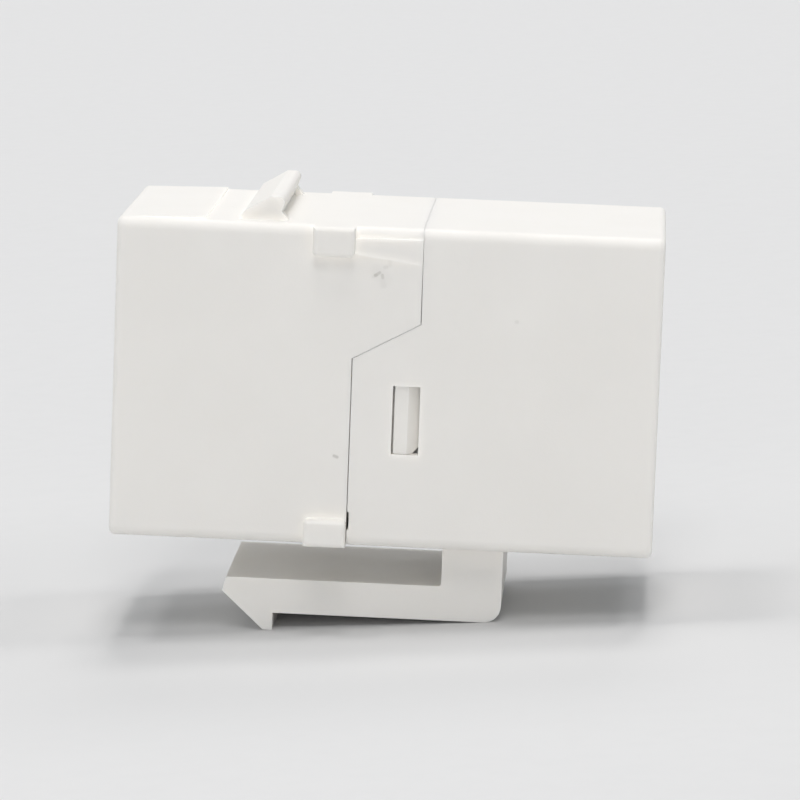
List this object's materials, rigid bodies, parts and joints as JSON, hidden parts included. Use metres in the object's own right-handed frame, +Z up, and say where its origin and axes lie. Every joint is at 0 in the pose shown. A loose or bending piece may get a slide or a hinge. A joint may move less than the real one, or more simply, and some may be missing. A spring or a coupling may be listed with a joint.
{
  "type": "inline network coupler for a keystone panel opening",
  "caption": "White snap-in coupler joining two network plugs end to end, with a panel hook on top, side stop lugs, a sprung latch arm below and a stepped seam.",
  "frame": {"origin": "on the plane where the panel stops against the side lugs, at the middle of the body's width and height", "axes": "+X along the body from the front port to the rear port, +Y across the body, +Z up, away from the latch arm"},
  "size_m": [0.0283, 0.016, 0.023],
  "materials": {
    "housing_plastic": "white moulded plastic, slightly translucent, smooth satin",
    "block_plastic": "off-white moulded plastic, satin",
    "contact_metal": "thin gold plating, polished",
    "board_laminate": "green solder mask over glass laminate"
  },
  "bodies": {
    "root": {"front_housing": "housing_plastic", "rear_housing": "housing_plastic", "front_contact_block": "block_plastic", "rear_contact_block": "block_plastic", "circuit_board": "board_laminate", "front_contact_1": "contact_metal", "front_contact_2": "contact_metal", "front_contact_3": "contact_metal", "front_contact_4": "contact_metal", "front_contact_5": "contact_metal", "front_contact_6": "contact_metal", "front_contact_7": "contact_metal", "front_contact_8": "contact_metal", "rear_contact_1": "contact_metal", "rear_contact_2": "contact_metal", "rear_contact_3": "contact_metal", "rear_contact_4": "contact_metal", "rear_contact_5": "contact_metal", "rear_contact_6": "contact_metal", "rear_contact_7": "contact_metal", "rear_contact_8": "contact_metal"}
  },
  "joints": []
}
